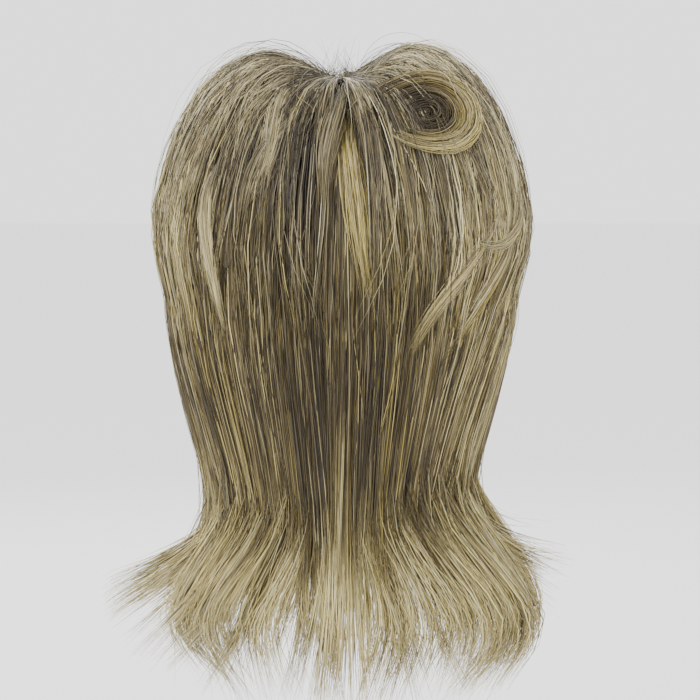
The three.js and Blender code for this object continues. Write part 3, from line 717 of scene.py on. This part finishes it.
def falling_hair(angle, share):
    """The short hair's outside down to its end, and past that the long hair's, which it falls over."""
    angle, share = np.broadcast_arrays(angle, np.asarray(share, float))
    falls = ease(0.82, 1.12, share)[..., None]
    over = long_hair(angle, np.maximum(0.466 + (share - 1) * 0.41, 0.2))
    over = over - unit(over * np.array([1, 1, 0])) * 0.5 * MM
    return mix(short_hair(angle, np.minimum(share, 1.15)), over, falls)


def sweep_over(angle, share):
    """The right lobe's ends lean in towards the middle of the back, as the hair under them does."""
    return angle + 20 * ease(-30, -75, angle) * ease(-140, -95, angle) * ease(0.55, 1.3, share)


lobes = {
    "crown_lobe_left": (LOBE_BACK, LOBE_FRONT),
    "crown_lobe_right": (-LOBE_FRONT, -LOBE_BACK),
}
laid_on_lobes = {
    "crown_lobe_left": [
        ([(17, 20), (28, 18), (37, 6), (40, -8), (39, -24), (45, -42), (54, -60)],
         8, 130, (0.74, 0.98), 2, 2.5),
        ([(24, 17), (54, 19), (81, 2), (97, -25), (103, -52), (101, -79), (90, -104)],
         18, 170, (0.5, 0.78), 1, 5),
        ([(66, -20), (80, -45), (82, -75), (76, -105), (70, -138)], 8, 150, (0.6, 0.98), 1.5, 5),
        ([(12, 5), (30, -10), (47, -28), (57, -52), (61, -79)], 9, 80, (0.35, 0.6), 1, 5),
        ([(10, 16), (30, 30), (52, 30), (70, 14), (82, -8)], 12, 50, (0.3, 0.6), 4, 5),
    ],
    "crown_lobe_right": [
        ([(-7, 17), (-2, 10), (0, -2), (6, -13), (10, -28), (11, -42), (10, -62)],
         6, 90, (0.45, 0.75), 1.5, 1.5),
        ([(-4, 10), (-14, 22), (-32, 31), (-52, 31), (-64, 20), (-69, 2), (-68, -12)],
         8, 110, (0.5, 1.0), 3.5, 5),
        ([(-8, 12), (-24, 28), (-44, 33), (-66, 26), (-80, 6), (-84, -14)], 9, 60, (0.4, 0.8), 5, 5),
        ([(-60, 20), (-84, -1), (-99, -28), (-105, -58), (-102, -82)], 18, 140, (0.5, 0.78), 1, 5),
        ([(-96, -40), (-97, -60), (-86, -84), (-66, -108), (-48, -130), (-40, -150)],
         9, 170, (0.6, 0.85), 1.5, 5),
        ([(-103, -64), (-101, -85), (-90, -105), (-76, -128), (-60, -160)], 8, 110, (0.5, 0.76), 1, 5),
        ([(-105, -46), (-108, -66), (-101, -83), (-89, -88), (-78, -84)], 5, 60, (0.5, 0.8), 2, 5),
    ],
}


def wisps(surface, count, sides, shares, lengths, seed, steps=8, radius=0.18):
    """Short loose hairs that stand up from the surface: each leaves along the normal, tilted at random, and
    bends over by the square of the way along it."""
    rng = np.random.default_rng(seed)
    t = np.linspace(0, 1, steps)[None, :, None]
    angle, share = rng.uniform(*sides, count), rng.uniform(*shares, count)
    root, out = surface(angle, share), outward(surface, angle, share)
    lean_out = unit(out + rng.normal(0, 0.55, (count, 3)))[:, None]
    over = rng.normal(0, 0.4, (count, 3))[:, None]
    length = rng.uniform(*lengths, (count, 1, 1)) * MM
    path = root[:, None] - out[:, None] * 2 * MM + length * (lean_out * t + over * t**2)
    sizes = radius * MM * (1 - 0.8 * np.broadcast_to(t[..., 0], (count, steps)))
    across = np.broadcast_to(unit(np.cross(lean_out, over)), path.shape)
    return tubes(path, across, sizes, rng.uniform(0.15, 0.55, (count, 1)), np.zeros((count, steps)), seed)


for seed, (node, sides) in enumerate(lobes.items(), 61):
    hairs_from = (sides[0] - 18, sides[1]) if sides[0] > 0 else (sides[0], sides[1] + 18)
    hair_piece(
        f"{node}_bed", node, fibre,
        [bed(short_hair, sides, 0.0, 0.86, 116, 30, 6 * MM, seed, None, 2 * MM, PARTING_HALF_WIDTH + 1 * MM)],
    )
    hair_piece(
        f"{node}_hair", node, fibre,
        [
            combed(falling_hair, 1100, hairs_from, (0.0, 0.05), (0.55, 1.45), 50, seed + 10, stray=0.9, sway=1.5,
                   swing=3.5, gather=0.6, lights=0.3, lean=sweep_over),
            combed(falling_hair, 640, sides, (0.1, 0.5), (0.6, 1.4), 48, seed + 20, stray=1.1, sway=2.5,
                   swing=4.5, gather=0.6, lights=0.3, lean=sweep_over),
            combed(falling_hair, 340, hairs_from, (0.0, 0.4), (0.4, 1.05), 70, seed + 30, stray=2.4, sway=4,
                   swing=8, gather=0.0, radius=0.19, lights=0.5),
            combed(short_hair, 90, sides, (0.0, 0.1), (0.3, 0.9), 30, seed + 40, stray=5, sway=5,
                   swing=10, gather=0.0, radius=0.17, lights=0.3, steps=11),
            wisps(short_hair, 70, sides, (0.0, 0.07), (7, 19), seed + 50),
            *(
                laid_lock(falling_hair, places, width * MM, 2 * MM, count, tone, seed * 10 + number, arch=arch,
                          bury=bury)
                for number, (places, width, count, tone, arch, bury) in enumerate(laid_on_lobes[node])
            ),
        ],
    )


# The fringe
# Short locks from the front of the parting over the forehead, with feathered ends.
fringe_sides = (LOBE_FRONT, 360 - LOBE_FRONT)
hair_piece(
    "fringe_bed", "fringe", fibre,
    [bed(short_hair, fringe_sides, 0.0, 0.86, 70, 24, 4 * MM, 81, meets=PARTING_HALF_WIDTH + 1 * MM)],
)
hair_piece(
    "fringe_hair", "fringe", fibre,
    [
        combed(short_hair, 800, (LOBE_FRONT - 12, 372 - LOBE_FRONT), (0.0, 0.1), (0.82, 1.07), 40, 82,
               stray=1.0, sway=2, swing=4, gather=0.3),
        combed(short_hair, 90, fringe_sides, (0.1, 0.3), (0.6, 1.0), 24, 83, stray=2.5, sway=4, swing=8,
               gather=0.0, radius=0.2, lights=0.5),
    ],
)


# The light streak and the crown curl
# Two bleached locks: one lies on the back layer below the parting, one turns over on the right lobe.
bleached = node_material("bleached_fibre", lambda *parts: hair_fibre(*parts, ashen=1.06))
hair_piece(
    "light_streak_hair", "light_streak", bleached,
    [
        laid_lock(long_hair, [(-2, -6), (-5, -30), (-9, -60), (-12, -88), (-15, -118)], 11 * MM, 2.5 * MM,
                  160, (0.76, 0.94), 91, bury=2.0, proud=1.8),
    ],
)
turn_over = [
    (42, 8), (26, 18), (6, 24), (-14, 22), (-29, 10), (-34, -6), (-27, -20), (-10, -25), (8, -22), (20, -14),
]
hair_piece(
    "crown_curl_hair", "crown_curl", bleached,
    [
        laid_lock(short_hair, [(x * size - 48, z * size - 7) for x, z in turn_over], wide * MM, 4 * MM, count,
                  tones, seed, steps=16, proud=proud, thin=0.8, ragged=0.55)
        for size, wide, count, tones, seed, proud in (
            (1.0, 8, 110, (0.3, 0.98), 92, 3.2),
            (0.8, 9, 110, (0.15, 0.92), 93, 2.9),
            (0.58, 9, 90, (0.03, 0.5), 94, 2.4),
            (0.3, 13, 60, (0.0, 0.12), 95, 2.6),
        )
    ],
)


# The floor, the light and the camera
# A plain pale floor and soft studio light. The camera looks at the back, level, from far off.
floor_drop = 520 * MM
bpy.ops.mesh.primitive_plane_add(size=40, location=(0, 0, -floor_drop))
floor = bpy.context.object
floor.name = "floor"


def pale_floor(nodes, links, shader):
    """Even off-white."""
    shader.inputs["Base Color"].default_value = (0.9, 0.9, 0.9, 1)
    shader.inputs["Roughness"].default_value = 0.9


floor.data.materials.append(node_material("pale_floor", pale_floor))

world = bpy.data.worlds.new("studio")
world.use_nodes = True
world.node_tree.nodes["Background"].inputs["Color"].default_value = (1, 1, 1, 1)
world.node_tree.nodes["Background"].inputs["Strength"].default_value = 2.0
bpy.context.scene.world = world


def soft_light(name, place, target, size, power):
    """A square area light that faces its target."""
    lamp = bpy.data.lights.new(name, "AREA")
    lamp.size, lamp.energy = size, power
    light = bpy.data.objects.new(name, lamp)
    light.location = place
    direction = np.array(target) - np.array(place)
    light.rotation_mode = "QUATERNION"
    light.rotation_quaternion = Vector(direction).to_track_quat("-Z", "Y")
    bpy.context.scene.collection.objects.link(light)


middle = (0, 0, -0.15)
soft_light("key_light", (0.9, 1.5, 1.3), middle, 0.9, 34)
soft_light("fill_light", (-1.3, 1.2, 0.5), middle, 1.2, 12)
soft_light("front_light", (0.4, -1.8, 0.9), middle, 1.2, 18)

camera_data = bpy.data.cameras.new("camera")
camera_data.lens, camera_data.sensor_width = 137, 36
camera = bpy.data.objects.new("camera", camera_data)
camera.location = EYE
camera.rotation_mode = "QUATERNION"
camera.rotation_quaternion = Vector(AIM - EYE).to_track_quat("-Z", "Y")
bpy.context.scene.collection.objects.link(camera)
bpy.context.scene.camera = camera
